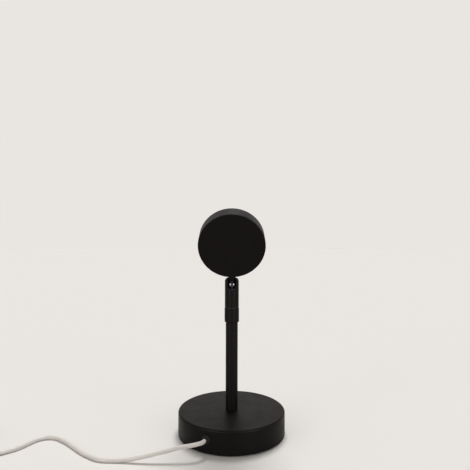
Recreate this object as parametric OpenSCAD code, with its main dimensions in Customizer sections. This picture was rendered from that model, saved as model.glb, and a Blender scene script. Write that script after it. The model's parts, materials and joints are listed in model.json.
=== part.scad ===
// Sunset projection lamp: a slim drum head on a slotted ball joint, a straight pole, a weighted round
// base and a thin USB lead with an in-line rocker switch.
// Millimetres. The origin is the centre of the base on the table, the beam leaves towards +Y and +Z is up.

/* [Base] */
// Outer diameter of the base shell
base_d = 100; // [96:1:110]
// Height of the base's top face above the table
base_h = 22; // [22:0.5:26]
// Radius of the shell's top edge
base_edge_r = 1.8; // [1:0.1:3]
// Thickness of the shell's wall and top
shell_t = 1.6; // [1.2:0.1:2]
// Thickness of the iron weight
weight_t = 8; // [6:0.5:8]
// Height of the rubber feet
foot_h = 2; // [1.5:0.1:2]

/* [Pole] */
// Outer diameter of the pole
pole_d = 11.4; // [11:0.1:12.4]
// Height of the pole's top end above the table
pole_top = 104; // [80:1:120]
// Outer diameter of the fixed collar on the pole
collar_d = 13.7; // [13.4:0.1:15]
// Height of the collar
collar_h = 13.5; // [10:0.5:16]

/* [Swivel] */
// Outer diameter of the turning sleeve
sleeve_d = 13.2; // [13:0.1:14]
// Radius of the sleeve's rounded top edge
sleeve_edge_r = 3.7; // [3:0.1:3.8]
// Height of the ball's centre above the collar's top
ball_rise = 21.5; // [21:0.5:24]
// Height of the sleeve's top above the ball's centre
sleeve_over = 7; // [6.5:0.1:8]
// Diameter of the ball
ball_d = 10.4; // [10:0.1:10.4]
// Diameter of the hollow neck between the ball and the head
neck_d = 6.6; // [6:0.1:6.8]
// Distance from the ball's centre to the side of the drum
neck_l = 12; // [11:0.5:16]
// Play on each side of the neck in the slot
slot_play = 0.4; // [0.3:0.05:0.5]

/* [Head] */
// Outer diameter of the drum
head_d = 61; // [60:0.5:64]
// Length of the drum
head_l = 18; // [18:0.5:22]
// Upward tilt of the beam at rest, in degrees
head_tilt = 21; // [0:1:80]
// Outer diameter of the lens snout
snout_d = 50; // [50:0.5:53]
// Diameter of the glass lens
lens_d = 45; // [43:0.5:45]
// Height of the lens's dome
lens_dome = 7; // [4:0.5:8]
// Diameter of the colour filter
filter_d = 34; // [30:1:34]

/* [Lead] */
// Diameter of the lead
lead_d = 3.5; // [3:0.1:3.5]
// Angle of the lead's outlet round the base, from the back towards the left
outlet_angle = 25; // [15:1:35]
// Height of the lead's outlet
outlet_z = 13; // [11:0.5:14]
// Length of the in-line switch
switch_l = 48; // [48:1:60]
// Width of the in-line switch
switch_w = 17; // [17:0.5:20]
// Height of the in-line switch
switch_h = 13; // [13:0.5:14]
// Rocking angle of the switch to each side
rocker_angle = 8; // [5:1:9]

/* [Hidden] */
$fn = 96;

// Colours
satin_black = [0.05, 0.045, 0.045];
dark_nickel = [0.20, 0.20, 0.21];
zinc = [0.70, 0.70, 0.72];
iron = [0.28, 0.27, 0.27];
brass = [0.80, 0.65, 0.32];
rubber_black = [0.08, 0.08, 0.08];
white_pvc = [0.88, 0.87, 0.85];
black_plastic = [0.10, 0.10, 0.10];
rocker_grey = [0.80, 0.79, 0.77];
pad_grey = [0.55, 0.60, 0.65];
board_white = [0.90, 0.90, 0.88];
phosphor = [0.95, 0.80, 0.25];
filter_orange = [0.95, 0.42, 0.12, 0.8];
clear_glass = [0.92, 0.85, 0.75, 0.5];

// Base heights
base_r = base_d / 2;
shell_bottom = 1;
shell_in_r = base_r - shell_t;
plate_t = 1.2;
plate_top = foot_h + plate_t;
weight_top = base_h - shell_t - 0.4;
weight_bottom = weight_top - weight_t;
weight_r = base_r - 4;
notch_w = 9;
notch_from_r = 20;
post_r = 4;
post_ring_r = 36;
post_angles = [60, 180, 300];
foot_r = 5;
foot_ring_r = 40;
foot_angles = [45, 135, 225, 315];
screw_r = 1.25;
screw_head_r = 2.8;
screw_l = 7;
recess_w = 2.4;
recess_t = 0.6;
recess_depth = 0.7;

// Fits and small edges
play = 0.05;
thread_play = 0.02;
edge_r = 0.4;
seam_r = 0.2;
through = 1;

// Threaded M10 nipple that clamps the pole to the base
nipple_r = 5;
nipple_bore_r = 3.4;
nipple_in_pole = 10;
washer_t = 1;
washer_r = 10;
nut_h = 3;
nut_flats = 14;
nipple_bottom = weight_bottom - washer_t - nut_h - 0.4;

// Collar, its spigot and the pieces that turn on it
collar_top = pole_top + collar_h;
collar_stub = 8;
collar_bore_r = 2.5;
collar_low_r = 0.8;
friction_t = 0.5;
spigot_r = 4;
spigot_h = 6.5;
spigot_top = collar_top + spigot_h;
groove_z = collar_top + 4.5;
groove_h = 1;
groove_r = 3.5;
ring_t = 0.8;
ring_r = 5.1;
ring_gap = 2.4;
running = 0.06;
sleeve_bottom = collar_top + friction_t + play;
bush_top = groove_z;

// Ball joint
ball_r = ball_d / 2;
ball_z = collar_top + ball_rise;
socket_r = ball_r + 0.2;
neck_r = neck_d / 2;
slot_r = neck_r + slot_play;
mouth_r = neck_r + 0.45;
sleeve_top = ball_z + sleeve_over;
seat_top = ball_z - neck_r - 0.3;
seat_h = 4.9;
seat_bottom = seat_top - seat_h;
seat_bore_r = 2.2;
stud_r = 2.5;
stud_bore_r = 1.5;
stud_end = 18.5;
lead_in_r = 3.2;
lead_in_h = 3;
spot_depth = 0.2;
spring_wire = 0.9;
spring_r = 3.2;
spring_turns = 4;
spring_steps = 16;

// Drum, measured along its own axis from the drum's middle
drum_r = head_d / 2;
drum_back = -head_l / 2;
drum_front = head_l / 2;
back_t = 2.5;
drum_wall = 2;
drum_in_r = drum_r - drum_wall;
back_edge_r = 0.8;
bezel_t = 2;
barrel_front = drum_front - bezel_t;
back_in = drum_back + back_t;
drum_rise = neck_l + drum_r;
pad_t = 0.5;
pad_r = 13;
board_t = 1.6;
board_r = 20;
board_top = back_in + pad_t + board_t;
board_screw_x = 16.5;
chip_w = 10;
chip_t = 0.8;
chip_dome_r = 4;
board_screw_from = drum_back + 0.6;
board_head_r = 2.2;
board_head_h = 1.5;
boss_in = 1.2;
boss_w = 9.6;
stud_nut_h = 2.5;
stud_nut_flats = 8;

// Filter holder
holder_r = 19;
holder_flange_r = 22;
holder_foot_r = 12.5;
holder_step = board_top + 2.4;
cone_r1 = 8;
cone_r2 = 14;
filter_r = filter_d / 2;
filter_t = 1.1;
filter_z = 3;
clip_t = 0.6;
clip_w = 1.6;
clip_gap = 4;
holder_flange_t = 2;

// Bezel and lens
snout_r = snout_d / 2;
snout_wall = 2.4;
spigot_in = 2;
spigot_wall = 2.5;
bezel_edge_r = 0.6;
snout_in_r = snout_r - snout_wall;
snout_l = 7;
seat_r = 20.5;
lens_r = lens_d / 2;
lens_seat = drum_front + 0.5;
gasket_t = 0.5;
lens_back = lens_seat + gasket_t;
lens_edge = 3;
dome_r = (lens_r * lens_r + lens_dome * lens_dome) / (2 * lens_dome);
dome_z = lens_back + lens_edge + lens_dome - dome_r;
ring_in_r = 21.2;
ring_z = dome_z + sqrt(dome_r * dome_r - ring_in_r * ring_in_r) + play;
snout_front = drum_front + snout_l;
ring_flange = 1.2;
notch_t = 2;
notch_depth = 0.8;

// Lead: its outlet and the places of what is on it
lead_r = lead_d / 2;
outlet_dir = [-sin(outlet_angle), -cos(outlet_angle), 0];
outlet_side = [cos(outlet_angle), -sin(outlet_angle), 0];
grommet_out = base_r + 3;
grommet_flange_t = 1.2;
grommet_hole_r = 3.1;
grommet_flange_r = 4;
grommet_inner_t = 1.2;
grommet_snug = 0.2;
grommet_cone_r = 3.1;
grommet_tip_r = 2.4;
inner_lead_r = 1.5;
head_lead_r = 0.9;
cable_tie_w = 2.4;
cable_tie_r = 2.4;
cable_tie_head = 3.6;
cable_tie_back = 4;
parting_z = 4.5;
switch_at = [-231, -72.5, 0];
switch_turn = 215.5;
switch_dir = [cos(switch_turn), sin(switch_turn), 0];
case_wall = 1.6;
case_edge_r = 2;
rocker_pivot_z = 9.2;
rocker_r = 7.3;
rocker_half_w = 5;
window_play = 0.3;
rocker_peak = 4.4;
rocker_dip = 1.4;
rocker_floor = -2.2;
rocker_corner_r = 0.8;
stem_l = 2.4;
stem_w = 3;
stem_h = 2;
pin_r = 0.9;
pin_l = 15.2;
cord_in_case = 6.5;
case_screws = [[17, 4.3], [-17, -4.3]];
case_screw_r = 1;
case_head_r = 1.9;
case_head_h = 0.9;
case_screw_in = 4.5;
case_post_r = 2.2;
case_recess = [1.8, 0.5];
cord_stop = [1, 3.6, 5];
contact_xs = [-6.5, 6.5];
contact_plate = [8, 4, 0.5];
contact_blade = [0.8, 4, 2.2];
coil_turns = 9;
coil_pitch = 4.1;
coil_outer_r = 28.75;
coil_steps = 24;
tie_t = 0.6;
tie_w = 3;
tie_gap = 0.35;
tie_corner_r = 1.4;
tie_head = [2.4, 4.4, 4.6];
tie_angles = [90, 270];
coil_at = [-245, -28, lead_r + tie_t];
plug_at = [coil_at[0] - coil_outer_r, -2, 0];
plug_axis_z = 3.9;
plug_tail_l = 9;
plug_body_l = 20;
plug_shell_l = 12;
plug_body_w = 15.6;
plug_edge_r = 2.4;
plug_tail_r = 3.3;
rib_gap = 1;
rib_xs = [2, 4.2, 6.4];
grip_xs = [4.5, 6.7, 8.9];
grip_depth = 0.4;
usb_w = 12;
usb_h = 4.5;
usb_wall = 0.35;
usb_corner_r = 0.6;
usb_in = 6;
usb_start = plug_tail_l + plug_body_l - usb_in;
latch_x = 5;
latch_y = 2.9;
latch_w = 2.25;
tongue_w = usb_w - 2 * usb_corner_r;
tongue_back = 0.6;
contact_ys = [-3.5, -1, 1, 3.5];
contact_t = 0.2;
contact_w = 1;
contact_back = 1;

// Route of the lead from the grommet to the switch, as it lies: across the gap beside the base, then
// along the table in one loose wave.
run_points = [
    grommet_out * outlet_dir + [0, 0, outlet_z],
    (grommet_out + 3) * outlet_dir + [0, 0, outlet_z],
    [-27, -53.5, 13], [-33, -56, 12.7], [-41, -57.4, 12], [-51.5, -58.5, 9.6], [-63, -59.3, 7.2],
    [-74, -59.4, 4.6], [-85, -59, 2.5], [-94, -58.6, lead_r], [-103, -58.3, lead_r], [-110, -56.6, lead_r],
    [-117, -52.4, lead_r], [-125, -46.4, lead_r], [-133, -39, lead_r], [-142, -30.3, lead_r],
    [-151, -22.8, lead_r], [-159, -18, lead_r], [-166, -17, lead_r], [-172, -19.4, lead_r],
    [-176.5, -24.5, lead_r], [-180, -31, lead_r], [-184, -37.5, lead_r], [-189.5, -42.8, lead_r],
    [-197, -48.4, 2.3], [-205, -54, 3.8],
    switch_at - (switch_l / 2 + 3) * switch_dir + [0, 0, parting_z],
    switch_at - (switch_l / 2 - cord_in_case) * switch_dir + [0, 0, parting_z]
];

// Route from the switch round to the outermost turn of the coil.
link_points = [
    switch_at + (switch_l / 2 - cord_in_case) * switch_dir + [0, 0, parting_z],
    switch_at + (switch_l / 2 + 3) * switch_dir + [0, 0, parting_z],
    [-259, -90.5, 3.2], [-266, -89, 2.2], [-271.5, -84.5, lead_r], [-273.5, -77, lead_r],
    [-273.75, -68, lead_r], [-273.75, -59, lead_r], [-273.75, -50, lead_r], [-273.75, -41, lead_r],
    coil_at - [coil_outer_r, lead_d, 0]
];

// Route from the top layer of the coil down to the plug.
tail_points = [
    coil_at + [-coil_outer_r, lead_d, coil_pitch],
    coil_at + [-coil_outer_r, 12, coil_pitch - 0.4],
    coil_at + [-coil_outer_r, 18, coil_pitch - 1.2],
    [plug_at[0], plug_at[1] - lead_d, plug_axis_z],
    [plug_at[0], plug_at[1], plug_axis_z]
];

// Points of the lead inside the base and the pole: distance out from the middle, then height.
inner_points = [
    [grommet_out, outlet_z], [46, outlet_z], [40, outlet_z], [35, 11.6], [31, 8.8], [27, 6.2], [22, 5.2],
    [14, 5], [7, 5], [3.2, 5.3], [0.9, 6.8], [0, 9.5], [0, 20], [0, ball_z - 6]
];

// Points of the lead inside the head, from the ball to the board: along the beam, then up the neck.
head_points = [
    [0, 1.5], [0, 8], [0, 14], [0, stud_end], [-1.1, 20.6], [-3, 22], [-3.5, 24.5], [-3.5, 27.5]
];

// ---------- helpers ----------

function unit(v) = v / norm(v);

function tangent(points, i) = unit(points[min(i + 1, len(points) - 1)] - points[max(i - 1, 0)]);

// One ring of a tube: square to the path, with its first corner towards ref.
function tube_ring(centre, along, ref, r, sides) =
    let (a = unit(ref - (ref * along) * along), b = cross(along, a))
    [for (k = [0:sides - 1]) centre + r * (cos(360 * k / sides) * a + sin(360 * k / sides) * b)];

function wall_faces(i, sides) =
    [for (k = [0:sides - 1]) let (a = i * sides + k, b = i * sides + (k + 1) % sides)
        each [[a, a + sides, b + sides], [a, b + sides, b]]];

function start_cap(sides) = [for (k = [1:sides - 2]) [0, k, k + 1]];

function end_cap(first, sides) = [for (k = [1:sides - 2]) [first, first + k + 1, first + k]];

// A closed tube along a list of points.
module swept_tube(points, r, sides, ref = [0, 0, 1]) {
    last = len(points) - 1;
    corners = [for (i = [0:last]) each tube_ring(points[i], tangent(points, i), ref, r, sides)];
    walls = [for (i = [0:last - 1]) each wall_faces(i, sides)];
    polyhedron(corners, concat(walls, start_cap(sides), end_cap(last * sides, sides)));
}

// A ring between two radii, standing on z.
module ring(r_out, r_in, z, h) {
    translate([0, 0, z])
        difference() {
            cylinder(r = r_out, h = h);
            translate([0, 0, -1]) cylinder(r = r_in, h = h + 2);
        }
}

module hex_nut(flats, bore_r, z, h) {
    translate([0, 0, z])
        difference() {
            cylinder(r = flats / 2 / cos(30), h = h, $fn = 6);
            translate([0, 0, -1]) cylinder(r = bore_r, h = h + 2);
        }
}

module quarter_disc(r) {
    intersection() {
        circle(r = r);
        square([r, r]);
    }
}

// Half outline of a round body with a rounded top edge, for turning about Z.
module rounded_top(r, h, edge) {
    square([r, h - edge]);
    square([r - edge, h]);
    translate([r - edge, h - edge]) quarter_disc(edge);
}

// Half outline of a round body with both outer edges rounded.
module rounded_ends(r, h, low, high) {
    square([r - low, h - high]);
    translate([0, low]) square([r - high, h - low]);
    translate([0, low]) square([r, h - low - high]);
    translate([r - high, h - high]) quarter_disc(high);
    translate([r - low, low]) mirror([0, 1]) quarter_disc(low);
}

// Rounded rectangle, middle at the origin.
module rounded_bar(w, h, edge) {
    square([w - 2 * edge, h], center = true);
    square([w, h - 2 * edge], center = true);
    for (x = [-1, 1], y = [-1, 1]) translate([x * (w / 2 - edge), y * (h / 2 - edge)]) circle(r = edge);
}

// A block along X with every edge rounded: three rounded outlines cut from each other.
module soft_block(l, w, h, edge) {
    intersection() {
        rotate([90, 0, 90]) linear_extrude(height = l) rounded_bar(w, h, edge);
        translate([l / 2, 0, -h / 2]) linear_extrude(height = h) rounded_bar(l, w, edge);
        translate([l / 2, w / 2, 0]) rotate([90, 0, 0]) linear_extrude(height = w) rounded_bar(l, h, edge);
    }
}

// Copies round the Z axis, each at its angle and at radius r.
module around(angles, r) {
    for (a = angles) rotate([0, 0, a]) translate([r, 0, 0]) children();
}

// Places a child along the lead's outlet: its +Z runs out through the wall.
module at_outlet() {
    translate([0, 0, outlet_z]) rotate([0, 0, -90 - outlet_angle]) rotate([0, 90, 0]) children();
}

// The head's frame: origin at the ball's centre, +Z up the neck, +Y along the beam.
module in_head() {
    translate([0, 0, ball_z]) rotate([head_tilt, 0, 0]) children();
}

// The drum's frame: origin at its middle, +Z along the beam, +Y towards the neck.
module in_drum() {
    in_head() translate([0, 0, drum_rise]) rotate([-90, 0, 0]) children();
}

module in_switch() {
    translate(switch_at) rotate([0, 0, switch_turn]) children();
}

module in_plug() {
    translate(plug_at) rotate([0, 0, 90]) children();
}

// ---------- base ----------

module base_shell() {
    color(satin_black)
        difference() {
            rotate_extrude()
                difference() {
                    translate([0, shell_bottom])
                        rounded_ends(base_r, base_h - shell_bottom, edge_r, base_edge_r);
                    translate([-1, shell_bottom - 1])
                        square([shell_in_r + 1, base_h - shell_t - shell_bottom + 1]);
                }
            translate([0, 0, base_h - shell_t - 1]) cylinder(r = nipple_r + play, h = shell_t + 2);
            at_outlet() translate([0, 0, shell_in_r - 3]) cylinder(r = grommet_hole_r, h = shell_t + 6);
        }
}

module base_weight() {
    color(iron)
        difference() {
            union() {
                translate([0, 0, weight_bottom]) cylinder(r = weight_r, h = weight_t);
                around(post_angles, post_ring_r)
                    translate([0, 0, plate_top]) cylinder(r = post_r, h = weight_top - plate_top - 1);
            }
            translate([0, 0, weight_bottom - 1]) cylinder(r = nipple_r + 0.3, h = weight_t + 2);
            around(post_angles, post_ring_r)
                translate([0, 0, plate_top - 1]) cylinder(r = screw_r, h = screw_l + 1);
            rotate([0, 0, -90 - outlet_angle])
                translate([notch_from_r, -notch_w / 2, weight_bottom - 1])
                    cube([weight_r, notch_w, weight_t + 2]);
        }
}

module countersunk(head_r, shank_r, head_h, length) {
    cylinder(r1 = head_r, r2 = shank_r, h = head_h);
    cylinder(r = shank_r, h = length);
}

module cross_recess(width, thick, depth) {
    for (a = [0, 90])
        rotate([0, 0, a]) translate([-width / 2, -thick / 2, -through]) cube([width, thick, through + depth]);
}

module bottom_plate() {
    color(black_plastic)
        difference() {
            translate([0, 0, foot_h]) cylinder(r = shell_in_r - 0.1, h = plate_t);
            around(post_angles, post_ring_r)
                translate([0, 0, foot_h]) countersunk(screw_head_r, screw_r, plate_t, plate_t + 1);
        }
}

module plate_screws() {
    color(zinc)
        around(post_angles, post_ring_r)
            translate([0, 0, foot_h])
                difference() {
                    countersunk(screw_head_r, screw_r, plate_t, plate_t + screw_l - 1);
                    cross_recess(recess_w, recess_t, recess_depth);
                }
}

module rubber_feet() {
    color(rubber_black)
        around(foot_angles, foot_ring_r)
            rotate_extrude() rounded_ends(foot_r, foot_h, edge_r, seam_r);
}

module cord_grommet() {
    color(rubber_black)
        at_outlet()
            difference() {
                union() {
                    translate([0, 0, shell_in_r - grommet_snug - grommet_inner_t])
                        cylinder(r = grommet_flange_r, h = grommet_inner_t);
                    translate([0, 0, shell_in_r - grommet_inner_t])
                        cylinder(r = grommet_hole_r, h = grommet_inner_t + shell_t + grommet_flange_t / 2);
                    translate([0, 0, base_r])
                        rotate_extrude() rounded_top(grommet_flange_r, grommet_flange_t, edge_r);
                    translate([0, 0, base_r + grommet_flange_t])
                        cylinder(
                            r1 = grommet_cone_r, r2 = grommet_tip_r,
                            h = grommet_out - base_r - grommet_flange_t
                        );
                }
                translate([0, 0, shell_in_r - grommet_snug - grommet_inner_t - through])
                    cylinder(r = lead_r, h = base_r);
            }
}

// Tie round the lead inside the wall, which keeps it from pulling out.
module cable_tie() {
    head_low = (cable_tie_w - cable_tie_head) / 2;
    color(black_plastic)
        at_outlet()
            translate([0, 0, weight_r - cable_tie_back])
                difference() {
                    union() {
                        cylinder(r = cable_tie_r, h = cable_tie_w);
                        translate([-cable_tie_r - 2, -cable_tie_head / 2, head_low])
                            cube([3, cable_tie_head, cable_tie_head]);
                    }
                    translate([0, 0, head_low - through])
                        cylinder(r = inner_lead_r, h = cable_tie_head + 2 * through);
                }
}

// ---------- pole ----------

module pole() {
    bore_r = nipple_r + thread_play;
    color(satin_black)
        translate([0, 0, base_h])
            rotate_extrude()
                difference() {
                    rounded_ends(pole_d / 2, pole_top - base_h, seam_r, seam_r);
                    translate([-through, -through]) square([bore_r + through, pole_top]);
                }
}

module pole_nipple() {
    color(zinc)
        ring(nipple_r, nipple_bore_r, nipple_bottom, base_h + nipple_in_pole - nipple_bottom);
}

module nipple_washer() {
    color(zinc) ring(washer_r, nipple_r + play, weight_bottom - washer_t, washer_t);
}

module nipple_nut() {
    color(zinc) hex_nut(nut_flats, nipple_r + thread_play, weight_bottom - washer_t - nut_h, nut_h);
}

// Fixed lower half of the swivel: threaded stub, collar and the grooved spigot that the sleeve turns on.
module swivel_collar() {
    color(satin_black)
        difference() {
            union() {
                translate([0, 0, pole_top - collar_stub]) cylinder(r = nipple_r, h = collar_stub + 1);
                translate([0, 0, pole_top])
                    rotate_extrude() rounded_ends(collar_d / 2, collar_h, collar_low_r, edge_r);
                translate([0, 0, collar_top - 1]) cylinder(r = spigot_r, h = spigot_h + 1);
            }
            translate([0, 0, pole_top - collar_stub - 1])
                cylinder(r = collar_bore_r, h = collar_stub + collar_h + spigot_h + 2);
            ring(spigot_r + 1, groove_r, groove_z, groove_h);
        }
}

module friction_washer() {
    color(black_plastic) ring(sleeve_d / 2 - 0.2, spigot_r + 0.2, collar_top, friction_t);
}

module retaining_ring() {
    color(zinc)
        difference() {
            ring(ring_r, groove_r, groove_z + (groove_h - ring_t) / 2, ring_t);
            translate([0, -ring_gap / 2, groove_z - 1]) cube([ring_r + 1, ring_gap, groove_h + 2]);
        }
}

module inner_lead() {
    color(white_pvc)
        swept_tube(
            [for (p = inner_points) p[0] * outlet_dir + [0, 0, p[1]]],
            inner_lead_r, 8, outlet_side
        );
}

// ---------- ball joint ----------

// Room inside the sleeve: a straight bore that closes over the ball in a spherical seat.
module socket_room() {
    translate([0, -1]) square([socket_r, ball_z - sleeve_bottom + 1]);
    translate([0, ball_z - sleeve_bottom]) quarter_disc(socket_r);
    square([mouth_r, sleeve_top - sleeve_bottom + 1]);
}

module socket_sleeve() {
    color(satin_black)
        difference() {
            translate([0, 0, sleeve_bottom])
                rotate_extrude()
                    difference() {
                        rounded_ends(sleeve_d / 2, sleeve_top - sleeve_bottom, edge_r, sleeve_edge_r);
                        socket_room();
                    }
            translate([-slot_r, -sleeve_d, ball_z]) cube([2 * slot_r, sleeve_d, sleeve_over + 1]);
            translate([0, 0, ball_z]) rotate([90, 0, 0]) cylinder(r = slot_r, h = sleeve_d);
        }
}

module swivel_bush() {
    color(brass) ring(socket_r, spigot_r + running, sleeve_bottom, bush_top - sleeve_bottom);
}

// Compression spring between the spigot's end and the seat: a plain helix.
module seat_spring() {
    low = spigot_top + 0.1 + spring_wire / 2;
    span = seat_bottom - spring_wire / 2 - low;
    steps = spring_turns * spring_steps;
    color(zinc)
        swept_tube(
            [for (i = [0:steps])
                let (a = 360 * i / spring_steps)
                [spring_r * cos(a), spring_r * sin(a), low + span * i / steps]],
            spring_wire / 2, 6
        );
}

module ball_seat() {
    color(white_pvc)
        difference() {
            translate([0, 0, seat_bottom]) cylinder(r = socket_r - 0.1, h = seat_h);
            translate([0, 0, ball_z]) sphere(r = ball_r + 0.1);
            translate([0, 0, seat_bottom - 1]) cylinder(r = seat_bore_r, h = seat_h + 2);
        }
}

// Ball, hollow neck and threaded stud in one turned piece.
module swivel_ball() {
    color(dark_nickel)
        in_head()
            difference() {
                union() {
                    sphere(r = ball_r);
                    cylinder(r = neck_r, h = neck_l + spot_depth);
                    cylinder(r = stud_r, h = stud_end);
                }
                translate([0, 0, -ball_r - 1]) cylinder(r = stud_bore_r, h = ball_r + stud_end + 2);
                translate([0, 0, -ball_r]) cylinder(r1 = lead_in_r, r2 = stud_bore_r, h = lead_in_h);
            }
}

// ---------- head ----------

module stud_nut() {
    color(zinc) in_head() hex_nut(stud_nut_flats, stud_r, neck_l + drum_wall + boss_in, stud_nut_h);
}

module head_barrel() {
    color(satin_black)
        in_drum()
            difference() {
                union() {
                    difference() {
                        translate([0, 0, barrel_front])
                            rotate([180, 0, 0])
                                rotate_extrude()
                                    rounded_ends(drum_r, barrel_front - drum_back, seam_r, back_edge_r);
                        translate([0, 0, back_in]) cylinder(r = drum_in_r, h = head_l);
                    }
                    translate([-boss_w / 2, drum_in_r - boss_in, -boss_w / 2])
                        cube([boss_w, boss_in + drum_wall / 2, boss_w]);
                }
                rotate([-90, 0, 0]) cylinder(r = stud_r + play, h = drum_r + 1);
                translate([0, drum_r - spot_depth, 0]) rotate([-90, 0, 0]) cylinder(r = neck_r + 0.3, h = 2);
                for (x = [-board_screw_x, board_screw_x])
                    translate([x, 0, board_screw_from]) cylinder(r = screw_r, h = back_t);
            }
}

module thermal_pad() {
    color(pad_grey) in_drum() translate([0, 0, back_in]) cylinder(r = pad_r, h = pad_t);
}

module led_board() {
    color(board_white)
        in_drum()
            difference() {
                translate([0, 0, back_in + pad_t]) cylinder(r = board_r, h = board_t);
                for (x = [-board_screw_x, board_screw_x])
                    translate([x, 0, back_in]) cylinder(r = screw_r + play, h = 4);
            }
}

module led_emitter() {
    color(phosphor)
        in_drum() {
            translate([-chip_w / 2, -chip_w / 2, board_top]) cube([chip_w, chip_w, chip_t / 2]);
            translate([0, 0, board_top + chip_t / 2]) cylinder(r = chip_dome_r, h = chip_t / 2);
        }
}

module board_screws() {
    color(zinc)
        in_drum()
            for (x = [-board_screw_x, board_screw_x])
                translate([x, 0, 0])
                    difference() {
                        union() {
                            translate([0, 0, board_screw_from])
                                cylinder(r = screw_r, h = board_top + board_head_h / 2 - board_screw_from);
                            translate([0, 0, board_top]) cylinder(r = board_head_r, h = board_head_h);
                        }
                        translate([0, 0, board_top + board_head_h])
                            rotate([180, 0, 0]) cross_recess(recess_w, recess_t, recess_depth);
                    }
}

module filter_holder() {
    pocket_r = filter_r + 0.05;
    color(black_plastic)
        in_drum()
            difference() {
                union() {
                    translate([0, 0, board_top]) cylinder(r = holder_foot_r, h = barrel_front - board_top);
                    translate([0, 0, holder_step]) cylinder(r = holder_r, h = barrel_front - holder_step);
                    translate([0, 0, barrel_front - holder_flange_t])
                        cylinder(r = holder_flange_r, h = holder_flange_t);
                }
                translate([0, 0, board_top - 0.01])
                    cylinder(r1 = cone_r1, r2 = cone_r2, h = filter_z - board_top + 0.02);
                translate([0, 0, filter_z]) cylinder(r = pocket_r, h = barrel_front);
            }
}

module color_filter() {
    color(filter_orange) in_drum() translate([0, 0, filter_z]) cylinder(r = filter_r, h = filter_t);
}

module filter_clip() {
    color(zinc)
        in_drum()
            difference() {
                ring(filter_r, filter_r - clip_w, filter_z + filter_t, clip_t);
                translate([filter_r - clip_w - through, -clip_gap / 2, filter_z])
                    cube([clip_w + 2 * through, clip_gap, filter_t + clip_t + through]);
            }
}

// Front ring of the drum: it screws into the barrel and carries the lens in its snout.
module front_bezel() {
    color(satin_black)
        in_drum()
            difference() {
                union() {
                    translate([0, 0, barrel_front])
                        rotate_extrude() rounded_ends(drum_r, bezel_t, seam_r, bezel_edge_r);
                    translate([0, 0, barrel_front - spigot_in])
                        cylinder(r = drum_in_r - thread_play, h = spigot_in + bezel_t / 2);
                    translate([0, 0, barrel_front])
                        rotate_extrude() rounded_top(snout_r, bezel_t + snout_l, seam_r);
                }
                translate([0, 0, barrel_front - spigot_in - through])
                    cylinder(r = drum_in_r - spigot_wall, h = spigot_in + through);
                translate([0, 0, barrel_front - through]) cylinder(r = seat_r, h = head_l);
                translate([0, 0, lens_seat]) cylinder(r = snout_in_r, h = head_l);
            }
}

module lens_gasket() {
    color(rubber_black) in_drum() ring(lens_r, seat_r, lens_seat, gasket_t);
}

module lens() {
    color(clear_glass)
        in_drum()
            intersection() {
                translate([0, 0, lens_back]) cylinder(r = lens_r, h = lens_edge + lens_dome + 1);
                translate([0, 0, dome_z]) sphere(r = dome_r, $fn = 160);
            }
}

// Screwed ring that holds the lens, with two spanner notches.
module lens_ring() {
    ring_top = snout_front + ring_flange;
    color(satin_black)
        in_drum()
            difference() {
                union() {
                    ring(snout_in_r - thread_play, ring_in_r, ring_z, snout_front - ring_z + ring_flange / 2);
                    translate([0, 0, snout_front])
                        rotate_extrude()
                            difference() {
                                rounded_ends(snout_r, ring_flange, seam_r, edge_r);
                                translate([-through, -through])
                                    square([ring_in_r + through, ring_flange + 2 * through]);
                            }
                }
                for (a = [0, 180])
                    rotate([0, 0, a])
                        translate([ring_in_r - through, -notch_t / 2, ring_top - notch_depth])
                            cube([notch_t + through, notch_t, notch_depth + through]);
            }
}

module head_lead() {
    color(white_pvc)
        in_head() swept_tube([for (p = head_points) [0, p[0], p[1]]], head_lead_r, 8, [1, 0, 0]);
}

// ---------- lead and in-line switch ----------

module cord_run() {
    color(white_pvc) swept_tube(run_points, lead_r, 8);
}

module cord_link() {
    color(white_pvc) swept_tube(link_points, lead_r, 8);
}

module cord_tail() {
    color(white_pvc) swept_tube(tail_points, lead_r, 8);
}

// Half of the switch case, solid, standing on the parting plane: a bar with round ends and rounded edges.
module case_block(r, h, edge) {
    straight = switch_l - switch_w;
    for (x = [-straight / 2, straight / 2])
        translate([x, 0, 0]) rotate_extrude() rounded_ends(r, h, seam_r, edge);
    translate([-straight / 2, 0, 0])
        rotate([90, 0, 90])
            linear_extrude(height = straight) {
                rounded_ends(r, h, seam_r, edge);
                mirror([1, 0]) rounded_ends(r, h, seam_r, edge);
            }
}

module case_room(low, high) {
    straight = switch_l - switch_w;
    room_r = switch_w / 2 - case_wall;
    translate([0, 0, low]) {
        for (x = [-straight / 2, straight / 2]) translate([x, 0, 0]) cylinder(r = room_r, h = high - low);
        translate([-straight / 2, -room_r, 0]) cube([straight, 2 * room_r, high - low]);
    }
}

module cord_holes() {
    translate([-switch_l, 0, parting_z]) rotate([0, 90, 0]) cylinder(r = lead_r + play, h = 2 * switch_l);
}

module pin_shape() {
    translate([0, pin_l / 2, rocker_pivot_z]) rotate([90, 0, 0]) cylinder(r = pin_r, h = pin_l);
}

module case_screw(length) {
    countersunk(case_head_r, case_screw_r, case_head_h, length);
}

module switch_base() {
    color(white_pvc)
        in_switch() {
            difference() {
                translate([0, 0, parting_z]) rotate([180, 0, 0]) case_block(switch_w / 2, parting_z, 1.2);
                case_room(case_wall, parting_z + 1);
                cord_holes();
                for (p = case_screws) translate([p[0], p[1], 0]) case_screw(parting_z);
            }
            for (side = [-1, 1])
                translate([side * (switch_l / 2 - cord_in_case - cord_stop[0] / 2), 0, case_wall - play])
                    translate([-cord_stop[0] / 2, -cord_stop[1] / 2, 0]) cube(cord_stop);
        }
}

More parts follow.
